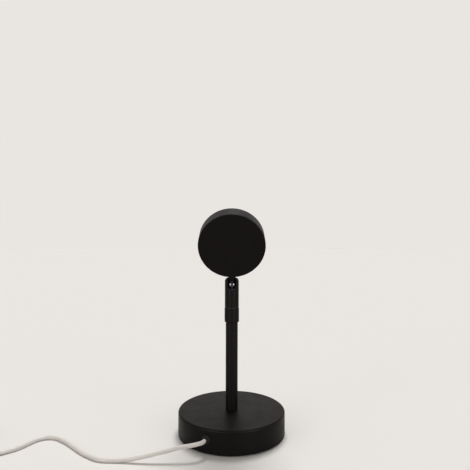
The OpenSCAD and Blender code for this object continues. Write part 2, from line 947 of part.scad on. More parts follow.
module switch_cover() {
    window_l = 2 * (rocker_r + window_play);
    window_w = 2 * (rocker_half_w + window_play);
    room_top = switch_h - case_wall;
    color(white_pvc)
        in_switch()
            difference() {
                union() {
                    difference() {
                        translate([0, 0, parting_z])
                            case_block(switch_w / 2, switch_h - parting_z, case_edge_r);
                        case_room(parting_z - 1, room_top);
                    }
                    for (p = case_screws)
                        translate([p[0], p[1], parting_z])
                            cylinder(r = case_post_r, h = room_top - parting_z + case_wall / 2);
                }
                translate([-window_l / 2, -window_w / 2, parting_z]) cube([window_l, window_w, switch_h]);
                pin_shape();
                cord_holes();
                for (p = case_screws)
                    translate([p[0], p[1], parting_z - through])
                        cylinder(r = case_screw_r, h = through + case_screw_in + edge_r);
            }
}

module switch_screws() {
    color(zinc)
        in_switch()
            for (p = case_screws)
                translate([p[0], p[1], 0])
                    difference() {
                        case_screw(parting_z + case_screw_in);
                        cross_recess(case_recess[0], case_recess[1], case_recess[1]);
                    }
}

module switch_contacts() {
    color(brass)
        in_switch()
            for (x = contact_xs, size = [contact_plate, contact_blade])
                translate([x - size[0] / 2, -size[1] / 2, case_wall]) cube(size);
}

module rocker_pin() {
    color(zinc) in_switch() pin_shape();
}

// Rocker with a hollow top, cut round about its pivot so that it clears the window.
module switch_rocker() {
    dip_r = (rocker_r * rocker_r + rocker_dip * rocker_dip) / (2 * rocker_dip);
    width = 2 * rocker_half_w;
    color(rocker_grey)
        in_switch()
            translate([0, 0, rocker_pivot_z])
                rotate([0, rocker_angle, 0])
                    difference() {
                        union() {
                            intersection() {
                                translate([0, 0, rocker_floor])
                                    linear_extrude(height = rocker_peak - rocker_floor)
                                        rounded_bar(2 * rocker_r, width, rocker_corner_r);
                                translate([0, width / 2, 0])
                                    rotate([90, 0, 0]) cylinder(r = rocker_r, h = width);
                            }
                            translate([-stem_l / 2, -stem_w / 2, rocker_floor - stem_h])
                                cube([stem_l, stem_w, stem_h + through]);
                        }
                        translate([0, width, rocker_peak - rocker_dip + dip_r])
                            rotate([90, 0, 0]) cylinder(r = dip_r, h = 2 * width);
                        translate([0, width, 0]) rotate([90, 0, 0]) cylinder(r = pin_r + play, h = 2 * width);
                    }
}

// ---------- coil ----------

// Centreline of the coil after t turns: in along the lower layer, up in the half turn where the spiral
// reverses, and out again along the upper layer.
function coil_point(t) =
    let (
        half = coil_turns / 2,
        r = coil_outer_r - coil_pitch * (half - abs(t - half)),
        climb = min(1, max(0, (t - half) / 0.5 + 0.5)),
        turn = 180 - 360 * t
    )
    coil_at + [r * cos(turn), r * sin(turn), coil_pitch * climb];

coil_line = [for (i = [0:coil_turns * coil_steps]) coil_point(i / coil_steps)];

coil_points = concat(
    [coil_line[0] - [0, lead_d, 0]],
    coil_line,
    [coil_line[len(coil_line) - 1] + [0, lead_d, 0]]
);

coil_least_gap = min([
    for (i = [0:len(coil_line) - 1], j = [i + coil_steps / 2:1:len(coil_line) - 1])
        norm(coil_line[i] - coil_line[j])
]) - lead_d;

module cord_coil() {
    echo(coil_least_gap = coil_least_gap);
    color(white_pvc) swept_tube(coil_points, lead_r, 6);
}

// Two releasable ties, each round one side of the wound turns, which rest on them.
module coil_ties() {
    middle_r = coil_outer_r - coil_pitch * coil_turns / 4;
    room_w = coil_pitch * (coil_turns - 1) / 2 + lead_d + 2 * tie_gap;
    room_h = coil_pitch + lead_d + tie_gap;
    color(black_plastic)
        translate([coil_at[0], coil_at[1], tie_t + room_h / 2])
            around(tie_angles, middle_r)
                rotate([90, 0, 0])
                    translate([0, 0, -tie_w / 2]) {
                        linear_extrude(height = tie_w)
                            difference() {
                                rounded_bar(room_w + 2 * tie_t, room_h + 2 * tie_t, tie_corner_r + tie_t);
                                rounded_bar(room_w, room_h, tie_corner_r);
                            }
                        translate([room_w / 2 + tie_t / 2, -tie_head[1] / 2, (tie_w - tie_head[2]) / 2])
                            cube(tie_head);
                    }
}

// ---------- plug ----------

// Runs a flat outline along the plug, from x for a length.
module along_plug(x, length) {
    in_plug() translate([x, 0, plug_axis_z]) rotate([90, 0, 90]) linear_extrude(height = length) children();
}

// Moulded grip with a ribbed tail that lets the lead bend.
module usb_moulding() {
    grip_w = plug_body_w - 2 * plug_edge_r;
    color(white_pvc)
        difference() {
            in_plug()
                translate([0, 0, plug_axis_z])
                    difference() {
                        union() {
                            translate([plug_tail_l, 0, 0])
                                soft_block(plug_body_l, plug_body_w, 2 * plug_axis_z, plug_edge_r);
                            rotate([0, 90, 0])
                                cylinder(r1 = lead_r + 0.5, r2 = plug_tail_r, h = plug_tail_l + 1);
                        }
                        for (x = rib_xs) rotate([0, 90, 0]) ring(2 * plug_tail_r, lead_r + 0.3, x, rib_gap);
                        for (x = grip_xs, z = [-plug_axis_z - through, plug_axis_z - grip_depth])
                            translate([plug_tail_l + x, -grip_w / 2, z])
                                cube([rib_gap, grip_w, through + grip_depth]);
                    }
            along_plug(usb_start, usb_in + through) rounded_bar(usb_w, usb_h, usb_corner_r);
        }
}

module usb_shell() {
    color(zinc)
        difference() {
            along_plug(usb_start, plug_shell_l + usb_in)
                difference() {
                    rounded_bar(usb_w, usb_h, usb_corner_r);
                    rounded_bar(usb_w - 2 * usb_wall, usb_h - 2 * usb_wall, usb_corner_r - usb_wall);
                }
            in_plug()
                for (y = [-latch_y, latch_y])
                    translate([usb_start + usb_in + latch_x, y - latch_w / 2, 0])
                        cube([latch_w, latch_w, 2 * plug_axis_z]);
        }
}

module usb_tongue() {
    color(white_pvc)
        in_plug()
            translate([usb_start, -tongue_w / 2, plug_axis_z])
                cube([plug_shell_l + usb_in - tongue_back, tongue_w, usb_h / 2 - usb_wall]);
}

module usb_contacts() {
    color(brass)
        in_plug()
            for (y = contact_ys)
                translate([usb_start + contact_back, y - contact_w / 2, plug_axis_z - contact_t])
                    cube([plug_shell_l + usb_in - 3 * contact_back, contact_w, contact_t]);
}

base_shell();
base_weight();
bottom_plate();
plate_screws();
rubber_feet();
cord_grommet();
cable_tie();
pole();
pole_nipple();
nipple_washer();
nipple_nut();
swivel_collar();
friction_washer();
retaining_ring();
inner_lead();
socket_sleeve();
swivel_bush();
seat_spring();
ball_seat();
swivel_ball();
stud_nut();
head_barrel();
thermal_pad();
led_board();
led_emitter();
board_screws();
filter_holder();
color_filter();
filter_clip();
front_bezel();
lens_gasket();
lens();
lens_ring();
head_lead();
cord_run();
switch_base();
switch_cover();
switch_screws();
switch_contacts();
rocker_pin();
switch_rocker();
cord_link();
cord_coil();
coil_ties();
cord_tail();
usb_moulding();
usb_shell();
usb_tongue();
usb_contacts();
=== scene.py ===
"""Looks of a sunset projection lamp: its finishes, leads and fine pieces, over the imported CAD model.

The lamp is a slim drum head on a slotted ball joint, a straight pole, a weighted round base and a thin
white USB lead with an in-line switch. Sizes are in millimetres and angles in degrees unless a name says
otherwise; meshes are written in metres.
"""

import json
import logging
import math
from dataclasses import dataclass
from enum import Enum
from functools import cache
from typing import ClassVar, NamedTuple, Sequence

import bmesh
import bpy
from mathutils import Matrix, Vector


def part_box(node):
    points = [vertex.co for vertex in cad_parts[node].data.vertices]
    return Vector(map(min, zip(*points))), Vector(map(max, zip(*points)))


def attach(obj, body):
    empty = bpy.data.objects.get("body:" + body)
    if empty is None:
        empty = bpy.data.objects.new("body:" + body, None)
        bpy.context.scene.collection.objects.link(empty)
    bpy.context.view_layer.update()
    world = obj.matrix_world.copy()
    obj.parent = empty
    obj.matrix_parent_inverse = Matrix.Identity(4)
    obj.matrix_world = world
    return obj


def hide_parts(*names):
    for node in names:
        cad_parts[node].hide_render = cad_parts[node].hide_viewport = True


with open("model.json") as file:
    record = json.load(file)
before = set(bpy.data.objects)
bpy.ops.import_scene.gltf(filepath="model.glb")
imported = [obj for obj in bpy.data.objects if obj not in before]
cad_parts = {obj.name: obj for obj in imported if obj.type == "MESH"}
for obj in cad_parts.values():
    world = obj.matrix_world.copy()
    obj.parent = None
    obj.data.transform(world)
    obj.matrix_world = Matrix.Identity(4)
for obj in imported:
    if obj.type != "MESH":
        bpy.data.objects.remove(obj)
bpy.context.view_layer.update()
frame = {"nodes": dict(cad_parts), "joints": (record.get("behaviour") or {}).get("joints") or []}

MM = 0.001
WELD = 0.001  # corners of a new shape that are closer than this are one
CRISP_ANGLE = 35.0  # an edge that turns by more than this stays crisp
ROUNDED_ANGLE = 30.0  # an edge that turns by more than this is rounded, where a shape is softened
Point = tuple[float, float, float]
Outline = Sequence[tuple[float, float]]
Piece = bpy.types.Object
Shape = bmesh.types.BMesh
Tree = bpy.types.NodeTree
Node = bpy.types.Node
Socket = bpy.types.NodeSocket
log = logging.getLogger("lamp")


class Body(Enum):
    """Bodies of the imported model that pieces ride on."""

    STAND = "stand"
    SLEEVE = "sleeve"
    HEAD = "head"


class Slot(Enum):
    """Material slots of the record, named for new pieces, which take their finish from a Finish instead."""

    WHITE_PVC = "white_pvc"
    BLACK_RUBBER = "black_rubber"
    ZINC_STEEL = "zinc_steel"
    LENS_GLASS = "lens_glass"


class Lay(Enum):
    """How a lead lies."""

    LOOSE = "loose"
    COILED = "coiled"


class FarEnd(Enum):
    """What is on the far end of a lead."""

    FITTING = "fitting"
    PLUG = "plug"


# ---------- the frame's places ----------


class Place(NamedTuple):
    """A place in the model, in millimetres."""

    x: float
    y: float
    z: float


def in_mm(metres: Sequence[float]) -> Place:
    """Returns a place of the frame in millimetres, to a hundredth."""
    return Place(*(round(value / MM, 2) for value in metres))


def hinge(name: str) -> dict:
    """Returns the frame's row for a joint."""
    return next(joint for joint in frame["joints"] if joint["name"] == name)


def rotation(degrees: float, axis: str) -> Matrix:
    """Returns a turn about one of the model's axes."""
    return Matrix.Rotation(math.radians(degrees), 4, axis)


def point_from(start: Place, bearing: float, distance: float, height: float) -> Point:
    """Returns the point that far from a start, at a height; +X bears 0 degrees, and +Y 90."""
    angle = math.radians(bearing)
    return start.x + distance * math.cos(angle), start.y + distance * math.sin(angle), height


# The pole stands on the origin, the ball's centre lies on the head's hinge, and the beam is level at
# that hinge's lower limit.
POLE = Place(0.0, 0.0, 0.0)
BALL_Z = in_mm(hinge("head_tilt")["pos_m"]).z
HEAD_TILT = -hinge("head_tilt")["range_deg"][0]


# ---------- node and mesh helpers ----------


def linear(code: str) -> tuple[float, float, float, float]:
    """Turns an sRGB hex colour into the linear colour that a socket takes.

    Args:
        code: colour as "#RRGGBB".

    Returns:
        Red, green and blue in linear light, and an alpha of 1.
    """
    channels = [int(code[i:i + 2], 16) / 255 for i in (1, 3, 5)]
    red, green, blue = (c / 12.92 if c <= 0.04045 else ((c + 0.055) / 1.055) ** 2.4 for c in channels)
    return red, green, blue, 1.0


def add_node(tree: Tree, kind: str, inputs: dict | None = None, **settings: object) -> Node:
    """Adds a node to a tree with its settings, values and links.

    Args:
        tree: node tree of a material or the world.
        kind: type name of the node.
        inputs: socket name or number to a value, or to the output socket that feeds it.
        settings: properties of the node itself.

    Returns:
        The new node.
    """
    node = tree.nodes.new(kind)
    for name, value in settings.items():
        setattr(node, name, value)
    for key, value in (inputs or {}).items():
        if isinstance(value, Socket):
            tree.links.new(value, node.inputs[key])
        elif value is not None:
            node.inputs[key].default_value = value
    return node


def new_object(name: str, data: bpy.types.ID) -> Piece:
    """Makes an object of the scene.

    Args:
        name: its name.
        data: the mesh, curve, light or camera that it holds.

    Returns:
        The object.
    """
    made = bpy.data.objects.new(name, data)
    bpy.context.scene.collection.objects.link(made)
    return made


def close_up(bm: Shape) -> None:
    """Merges the corners of a shape that meet and turns its faces outwards."""
    bmesh.ops.remove_doubles(bm, verts=bm.verts, dist=WELD)
    bmesh.ops.recalc_face_normals(bm, faces=bm.faces)


def finished_mesh(bm: Shape, name: str, place: Matrix) -> Piece:
    """Closes a shape, puts it in place and makes it an object at the origin.

    Args:
        bm: the shape, in millimetres; it is freed.
        name: name of the piece.
        place: where it goes, in millimetres.

    Returns:
        The piece's object, in metres.
    """
    close_up(bm)
    bm.transform(Matrix.Scale(MM, 4) @ place)
    mesh = bpy.data.meshes.new(name)
    bm.to_mesh(mesh)
    bm.free()
    mesh.shade_smooth()
    mesh.set_sharp_from_angle(angle=math.radians(CRISP_ANGLE))
    return new_object(name, mesh)


def soften_edges(bm: Shape, width: float) -> None:
    """Rounds the sharp edges of a shape.

    Args:
        bm: the shape.
        width: width of the rounding in millimetres.
    """
    close_up(bm)
    least = math.radians(ROUNDED_ANGLE)
    edges = [edge for edge in bm.edges if edge.is_manifold and edge.calc_face_angle(0.0) > least]
    bmesh.ops.bevel(
        bm, geom=edges, offset=width, affect="EDGES", segments=3, profile=0.5, material=-1, clamp_overlap=True
    )


def turned(
    name: str, outline: Outline, place: Matrix, steps: int, closed: bool = False, edge: float = 0.0
) -> Piece:
    """Turns an outline about Z, as on a lathe.

    Args:
        name: name of the piece.
        outline: radius and height of each corner, in order.
        place: where the turned piece goes, in millimetres.
        steps: steps of the full turn.
        closed: whether the outline closes on itself, as round a bore.
        edge: width that its sharp edges are rounded by, or 0.

    Returns:
        The piece's object.
    """
    bm = bmesh.new()
    corners = [bm.verts.new((r, 0.0, z)) for r, z in outline]
    runs = [bm.edges.new(pair) for pair in zip(corners, corners[1:])]
    if closed:
        runs.append(bm.edges.new((corners[-1], corners[0])))
    bmesh.ops.spin(
        bm, geom=corners + runs, cent=(0, 0, 0), axis=(0, 0, 1), angle=math.tau, steps=steps, use_merge=True
    )
    if edge:
        soften_edges(bm, edge)
    return finished_mesh(bm, name, place)


def tube_curve(name: str, points: Sequence[Point], radius: float, sides: int = 12, steps: int = 6) -> Piece:
    """Draws a round tube on one smooth open curve.

    Args:
        name: name of the piece.
        points: points that the middle of the tube passes through, in millimetres.
        radius: radius of the tube in millimetres.
        sides: sides of its section, an even number from 4 up.
        steps: steps between two points.

    Returns:
        The curve's object.
    """
    curve = bpy.data.curves.new(name, "CURVE")
    curve.dimensions = "3D"
    curve.bevel_depth = radius * MM
    # A round bevel has four sides, and two more for each step of its resolution.
    curve.bevel_resolution = (sides - 4) // 2
    curve.resolution_u = steps
    curve.use_fill_caps = True
    line = curve.splines.new("BEZIER")
    line.bezier_points.add(len(points) - 1)
    for knot, point in zip(line.bezier_points, points):
        knot.co = Vector(point) * MM
        knot.handle_left_type = knot.handle_right_type = "AUTO"
    return new_object(name, curve)


# ---------- finishes ----------


class Bumps(NamedTuple):
    """One layer of fine relief without a direction: how far apart its bumps are, and how high."""

    apart: float
    high: float


class Surface(NamedTuple):
    """A material while it is built: its nodes, its shader and its object coordinates in metres."""

    tree: Tree
    shader: Node
    place: Socket

    def feed(self, name: str, source: Socket) -> None:
        """Links a source to a socket of the shader."""
        self.tree.links.new(source, self.shader.inputs[name])


@dataclass(frozen=True)
class Finish:
    """What every finish has: two close shades, a gloss that wanders, and layers of fine relief.

    Attributes:
        label: name of the material.
        colour: its main shade.
        roughness: its usual roughness.
        metallic: 1 for bare metal, 0 for what isn't metal.
        specular: strength of the reflection on its skin, 0.5 for a plain one.
        shade: second shade that the colour wanders to, or nothing.
        cloud: size of the patches of the two shades.
        patch: size of the shinier and duller patches.
        shinier: how far the roughness falls in a shiny patch.
        duller: how far it rises in a dull one.
        relief: layers of bumps, the coarsest first.
    """

    label: str
    colour: str
    roughness: float
    metallic: float = 0.0
    specular: float = 0.5
    shade: str = ""
    cloud: float = 10.0
    patch: float = 5.0
    shinier: float = 0.0
    duller: float = 0.0
    relief: tuple[Bumps, ...] = ()

    # A noise texture hardly ever leaves this range, so it is stretched from it.
    NOISE_RANGE: ClassVar[tuple[float, float]] = (0.3, 0.7)
    CLOUD_DETAIL: ClassVar[float] = 3.0
    BUMP_DETAIL: ClassVar[float] = 2.0

    def constants(self) -> dict[str, float]:
        """Returns further shader sockets that are the same all over the surface."""
        return {}

    def pattern(self, on: Surface) -> None:
        """Adds what varies over a surface: its relief, its shades and its gloss.

        Args:
            on: the surface.
        """
        normal = None
        for bumps in self.relief:
            normal = self.grain(on, bumps, normal)
            on.feed("Normal", normal)
        if self.shade:
            blend = add_node(on.tree, "ShaderNodeValToRGB", {"Fac": self.drift(on, self.cloud, 0.0, 1.0)})
            for stop, code in zip(blend.color_ramp.elements, (self.colour, self.shade)):
                stop.color = linear(code)
            on.feed("Base Color", blend.outputs["Color"])
        if self.shinier or self.duller:
            low, high = self.roughness - self.shinier, self.roughness + self.duller
            on.feed("Roughness", self.drift(on, self.patch, low, high))

    def material(self) -> bpy.types.Material:
        """Builds the material of this finish.

        Returns:
            The material, with its nodes.
        """
        made = bpy.data.materials.new(self.label)
        made.use_nodes = True
        tree = made.node_tree
        tree.nodes.clear()
        place = add_node(tree, "ShaderNodeTexCoord").outputs["Object"]
        values = {
            "Base Color": linear(self.colour),
            "Roughness": self.roughness,
            "Metallic": self.metallic,
            "Specular IOR Level": self.specular,
            **self.constants(),
        }
        shader = add_node(tree, "ShaderNodeBsdfPrincipled", values)
        add_node(tree, "ShaderNodeOutputMaterial", {"Surface": shader.outputs["BSDF"]})
        self.pattern(Surface(tree, shader, place))
        return made

    def drift(self, on: Surface, size: float, low: float, high: float) -> Socket:
        """Adds a value that wanders over a surface.

        Args:
            on: the surface.
            size: size of its patches in millimetres.
            low: its least value.
            high: its greatest value.

        Returns:
            The socket with the value.
        """
        cloud = {"Vector": on.place, "Scale": 1 / (size * MM), "Detail": self.CLOUD_DETAIL}
        value = add_node(on.tree, "ShaderNodeTexNoise", cloud).outputs["Fac"]
        least, most = self.NOISE_RANGE
        spread = {"Value": value, "From Min": least, "From Max": most, "To Min": low, "To Max": high}
        return add_node(on.tree, "ShaderNodeMapRange", spread).outputs["Result"]

    def grain(self, on: Surface, bumps: Bumps, under: Socket | None) -> Socket:
        """Adds a layer of fine bumps.

        Args:
            on: the surface.
            bumps: how far apart and how high they are, in millimetres.
            under: normal of the coarser layer that they lie on.

        Returns:
            The socket with the bumped normal.
        """
        dots = {"Vector": on.place, "Scale": 1 / (bumps.apart * MM), "Detail": self.BUMP_DETAIL}
        height = add_node(on.tree, "ShaderNodeTexNoise", dots).outputs["Fac"]
        layer = {"Height": height, "Distance": bumps.high * MM, "Normal": under}
        return add_node(on.tree, "ShaderNodeBump", layer).outputs["Normal"]


@cache
def material_of(finish: Finish) -> bpy.types.Material:
    """Returns the one material of a finish."""
    return finish.material()


# Pigment grit is about 0.05 mm apart; it is drawn at 0.3 mm so that it shows.
PIGMENT_GRIT = Bumps(apart=0.3, high=0.0025)


@dataclass(frozen=True)
class PowderCoat(Finish):
    """Powder coat baked on steel or cast alloy: a satin film with a faint orange-peel skin."""

    shade: str = "#120E0D"
    cloud: float = 26.0
    patch: float = 14.0
    shinier: float = 0.05
    duller: float = 0.05
    relief: tuple[Bumps, ...] = (Bumps(apart=1.2, high=0.010), PIGMENT_GRIT)


@dataclass(frozen=True)
class TurnedMetal(Finish):
    """Metal from the lathe: rings run round its axis, and handling has dulled it here and there.

    Attributes:
        axis_z: height of the point of the axis that heights along it are counted from.
        axis_tilt: lean of the axis from upright, about X.
        feed: distance between rings.
        depth: depth of a ring.
    """

    patch: float = 3.0
    axis_z: float = 0.0
    axis_tilt: float = 0.0
    feed: float = 0.35
    depth: float = 0.0015

    def height(self, on: Surface) -> Socket:
        """Adds the height along the axis of turning.

        Args:
            on: the surface.

        Returns:
            The socket with the height in metres.
        """
        inward = (Matrix.Translation((0, 0, self.axis_z * MM)) @ rotation(self.axis_tilt, "X")).inverted()
        to_axis = {"Vector": on.place, "Location": inward.to_translation(), "Rotation": inward.to_euler()}
        along = add_node(on.tree, "ShaderNodeMapping", to_axis).outputs["Vector"]
        return add_node(on.tree, "ShaderNodeSeparateXYZ", {"Vector": along}).outputs["Z"]

    def pattern(self, on: Surface) -> None:
        """Adds the rings that the tool has left.

        Args:
            on: the surface.
        """
        super().pattern(on)
        # The feed is about 0.08 mm; the rings are drawn about four times as far apart so that they show.
        rings = {"W": self.height(on), "Scale": 1 / (self.feed * MM), "Detail": self.CLOUD_DETAIL}
        height = add_node(on.tree, "ShaderNodeTexNoise", rings, noise_dimensions="1D").outputs["Fac"]
        grooves = {"Height": height, "Distance": self.depth * MM}
        on.feed("Normal", add_node(on.tree, "ShaderNodeBump", grooves).outputs["Normal"])


@dataclass(frozen=True)
class PolishedBall(TurnedMetal):
    """Turned metal, plated and polished on its ball and powder coated on the neck above it.

    Attributes:
        coat: colour of the coat.
        coat_roughness: its roughness.
        coat_from: height over the ball's centre at which it starts.
        coat_edge: width of its soft edge.
    """

    coat: str = "#0C0A0A"
    coat_roughness: float = 0.46
    coat_from: float = 4.5
    coat_edge: float = 0.25

    def pattern(self, on: Surface) -> None:
        """Adds the coat that starts where the ball runs into its neck.

        Args:
            on: the surface.
        """
        super().pattern(on)
        polish = on.shader.inputs["Roughness"].links[0].from_socket
        edge = {"From Min": self.coat_from * MM, "From Max": (self.coat_from + self.coat_edge) * MM}
        coverage = {"Value": self.height(on), **edge, "To Min": 1.0, "To Max": 0.0}
        bare = add_node(on.tree, "ShaderNodeMapRange", coverage).outputs["Result"]
        skin = add_node(on.tree, "ShaderNodeValToRGB", {"Fac": bare})
        for stop, code in zip(skin.color_ramp.elements, (self.coat, self.colour)):
            stop.color = linear(code)
        gloss = {"Value": bare, "To Min": self.coat_roughness, "To Max": polish}
        on.feed("Metallic", bare)
        on.feed("Base Color", skin.outputs["Color"])
        on.feed("Roughness", add_node(on.tree, "ShaderNodeMapRange", gloss).outputs["Result"])


@dataclass(frozen=True)
class ZincPlate(Finish):
    """Bright zinc plate on steel: a cool metal with a crystalline bloom and pale yellow patches."""

    metallic: float = 1.0
    shade: str = "#B9B8A8"
    cloud: float = 2.5
    patch: float = 1.8
    shinier: float = 0.08
    duller: float = 0.12
    relief: tuple[Bumps, ...] = (Bumps(apart=0.4, high=0.003),)


@dataclass(frozen=True)
class ThreadedZinc(ZincPlate):
    """Zinc plate on a rolled thread that runs round the model's own vertical axis.

    Attributes:
        pitch: climb of a ridge in one turn, which is half the distance between two ridges.
        thread_depth: height of a ridge.
    """

    relief: tuple[Bumps, ...] = ()
    pitch: float = 1.0
    thread_depth: float = 0.35

    def pattern(self, on: Surface) -> None:
        """Adds ridges that climb round the axis, with a break where the angle starts anew, at -X.

        Args:
            on: the surface.
        """
        super().pattern(on)
        place = add_node(on.tree, "ShaderNodeSeparateXYZ", {"Vector": on.place}).outputs
        angle = add_node(on.tree, "ShaderNodeMath", {0: place["Y"], 1: place["X"]}, operation="ARCTAN2")
        turns = add_node(on.tree, "ShaderNodeMath", {0: angle.outputs[0], 1: math.tau}, operation="DIVIDE")
        rise = {0: place["Z"], 1: 1 / (self.pitch * MM), 2: turns.outputs[0]}
        climb = add_node(on.tree, "ShaderNodeMath", rise, operation="MULTIPLY_ADD")
        ridge = add_node(on.tree, "ShaderNodeMath", {0: climb.outputs[0], 1: 1.0}, operation="PINGPONG")
        thread = {"Height": ridge.outputs[0], "Distance": self.thread_depth * MM}
        on.feed("Normal", add_node(on.tree, "ShaderNodeBump", thread).outputs["Normal"])


@dataclass(frozen=True)
class CastIron(Finish):
    """Sand-cast grey iron, wiped with oil: a grainy dark grey with the brown of thin rust."""

    shade: str = "#5E4A40"
    cloud: float = 7.0
    patch: float = 3.0
    shinier: float = 0.2
    duller: float = 0.15
    relief: tuple[Bumps, ...] = (Bumps(apart=4.0, high=0.12), Bumps(apart=0.6, high=0.05))


@dataclass(frozen=True)
class Plastic(Finish):
    """Plastic, which lets the light in a little way under its skin.

    Attributes:
        glow: share of the light that goes in.
        glow_reach: how far it goes.
    """

    glow: float = 0.0
    glow_reach: float = 0.5

    def constants(self) -> dict[str, float]:
        """Returns the soft light under the skin."""
        return {"Subsurface Weight": self.glow, "Subsurface Scale": self.glow_reach * MM}


@dataclass(frozen=True)
class MouldedPlastic(Plastic):
    """Injection-moulded plastic with the fine spark-eroded texture of its mould."""

    shade: str = "#DEDBD4"
    cloud: float = 9.0
    patch: float = 6.0
    shinier: float = 0.05
    duller: float = 0.06
    relief: tuple[Bumps, ...] = (Bumps(apart=0.45, high=0.005),)


@dataclass(frozen=True)
class ToothedStrap(MouldedPlastic):
    """Nylon strap with moulded teeth across it, which hold its catch.

    Attributes:
        tooth: distance between two teeth.
        tooth_depth: height of a tooth.
    """

    relief: tuple[Bumps, ...] = ()
    tooth: float = 1.1
    tooth_depth: float = 0.25

    def pattern(self, on: Surface) -> None:
        """Adds the rows of teeth.

        Args:
            on: the surface.
        """
        super().pattern(on)
        # The wave runs through 20 radians in a unit of its vector, so this scale gives it the teeth's pitch.
        rows = {"Vector": on.place, "Scale": math.tau / 20 / (self.tooth * MM)}
        saw = add_node(on.tree, "ShaderNodeTexWave", rows, bands_direction="Y", wave_profile="SAW")
        teeth = {"Height": saw.outputs["Fac"], "Distance": self.tooth_depth * MM}
        on.feed("Normal", add_node(on.tree, "ShaderNodeBump", teeth).outputs["Normal"])


@dataclass(frozen=True)
class MouldedRubber(Finish):
    """Moulded rubber: a dull skin with fine pores and a little bloom on it."""

    shade: str = "#171716"
    cloud: float = 4.0
    relief: tuple[Bumps, ...] = (Bumps(apart=0.5, high=0.012),)


@dataclass(frozen=True)
class SoftPvc(Plastic):
    """Extruded soft PVC sheath: slightly uneven and waxy, with light just under its skin."""

    shade: str = "#D8D4CD"
    cloud: float = 16.0
    patch: float = 8.0
    shinier: float = 0.06
    duller: float = 0.1
    relief: tuple[Bumps, ...] = (Bumps(apart=5.0, high=0.03), Bumps(apart=0.7, high=0.006))
    glow: float = 0.08
    glow_reach: float = 0.6


@dataclass(frozen=True)
class OpticalGlass(Finish):
    """Ground and polished glass, with only a trace of dust that dulls its polish here and there.

    Attributes:
        ior: its index of refraction.
        clear: share of the light that goes through.
    """

    patch: float = 2.2
    duller: float = 0.05
    ior: float = 1.52
    clear: float = 1.0

    def constants(self) -> dict[str, float]:
        """Returns how much of the light goes through, at the glass's own index."""
        return {"Transmission Weight": self.clear, "IOR": self.ior}


@dataclass(frozen=True)
class CoatedGlass(OpticalGlass):
    """Thin glass with a coloured coating: it passes orange, clouds a little and has a faint sheen.

    Attributes:
        film: thickness of the coating in nanometres.
        film_ior: its index of refraction.
    """

    shade: str = "#E2501C"
    cloud: float = 12.0
    film: float = 420.0
    film_ior: float = 1.42

    def constants(self) -> dict[str, float]:
        """Returns the glass's sockets and its coating."""
        return {**super().constants(), "Thin Film Thickness": self.film, "Thin Film IOR": self.film_ior}


@dataclass(frozen=True)
class Phosphor(Finish):
    """Yellow phosphor grains set in clear silicone.

    Attributes:
        wet: strength of the silicone's gloss.
        wet_roughness: its roughness.
    """

    # The grains are 0.02 mm in truth; they are drawn at 0.4 mm so that they show.
    shade: str = "#F6DC5A"
    cloud: float = 0.4
    relief: tuple[Bumps, ...] = (Bumps(apart=0.4, high=0.01),)
    wet: float = 0.8
    wet_roughness: float = 0.08

    def constants(self) -> dict[str, float]:
        """Returns the clear silicone skin."""
        return {"Coat Weight": self.wet, "Coat Roughness": self.wet_roughness}


@dataclass(frozen=True)
class MattPaint(Finish):
    """Matt paint rolled on a board: a flat colour over the roller's fine stipple."""

    patch: float = 6.0
    shinier: float = 0.05
    duller: float = 0.06
    relief: tuple[Bumps, ...] = (Bumps(apart=0.45, high=0.005),)


# Powder coated steel of the base's shell and the pole: a warm near-black with a broad soft sheen.
STEEL_COAT = PowderCoat("powder coated steel, satin black", "#0C0A0A", 0.46, specular=0.07)
# The same powder on machined aluminium: the same black with a finer peel, so that it looks smoother.
ALLOY_COAT = PowderCoat(
    "powder coated aluminium, satin black",
    "#0C0A0A",
    0.46,
    specular=0.07,
    relief=(Bumps(apart=0.9, high=0.007), PIGMENT_GRIT),
)
# Black nickel over brass, polished: a dark mirror that catches points of light, under a coated neck.
BLACK_NICKEL = PolishedBall(
    "black nickel plated brass, polished ball and coated neck",
    "#454448",
    0.1,
    specular=0.07,
    shinier=0.02,
    duller=0.05,
    axis_z=BALL_Z,
    axis_tilt=HEAD_TILT,
)
# Turned brass of the bush and the contacts: a warm yellow with fine rings of light.
BRASS = TurnedMetal(
    "turned brass", "#C9A35A", 0.28, metallic=1.0, shinier=0.056, duller=0.14, feed=0.3, depth=0.002
)
# Zinc plate of the screws, washers and plug: cool and silvery, clouded with pale yellow.
ZINC = ZincPlate("zinc plated steel, bright", "#C9CCD1", 0.32)
# The same plate on the nipple's thread: its light breaks into ridges.
ZINC_THREAD = ThreadedZinc("zinc plated steel, rolled thread", "#C9CCD1", 0.34)
# Plated spring wire: greyer than the screws and a little shinier, since it is drawn.
SPRING_STEEL = ZincPlate("spring steel, zinc plated", "#BFC2C8", 0.28, shade="#A7A9AC")
# Cast iron of the weight: rough and dark, brown in patches, with a dull oily shine.
IRON = CastIron("cast iron, oiled", "#58534F", 0.7, metallic=0.6)
# Black ABS of the cover and the filter's holder: a dry, even charcoal with a fine matt grain.
BLACK_ABS = MouldedPlastic("black ABS, moulded", "#141415", 0.55, specular=0.3, shade="#19191A")
# Black nylon of the ties round the coil: rows of teeth that catch a faint light.
BLACK_STRAP = ToothedStrap("black nylon strap, moulded", "#161617", 0.5, shade="#1C1C1D")
# Black rubber of the feet, the gasket and the lead's bush: the dullest black, greyed by its bloom.
BLACK_RUBBER = MouldedRubber("black rubber, moulded", "#0F0F0F", 0.78, specular=0.2)
# Filled silicone under the board: a soft blue grey without shine.
SILICONE_PAD = MouldedRubber("silicone heat pad, filled", "#8C97A3", 0.7, shade="#9AA4AE")
# Natural nylon of the ball's seat: creamy, with light under its skin.
NYLON = MouldedPlastic("natural nylon, moulded", "#E4E0D2", 0.45, shade="#DAD5C4", glow=0.2)
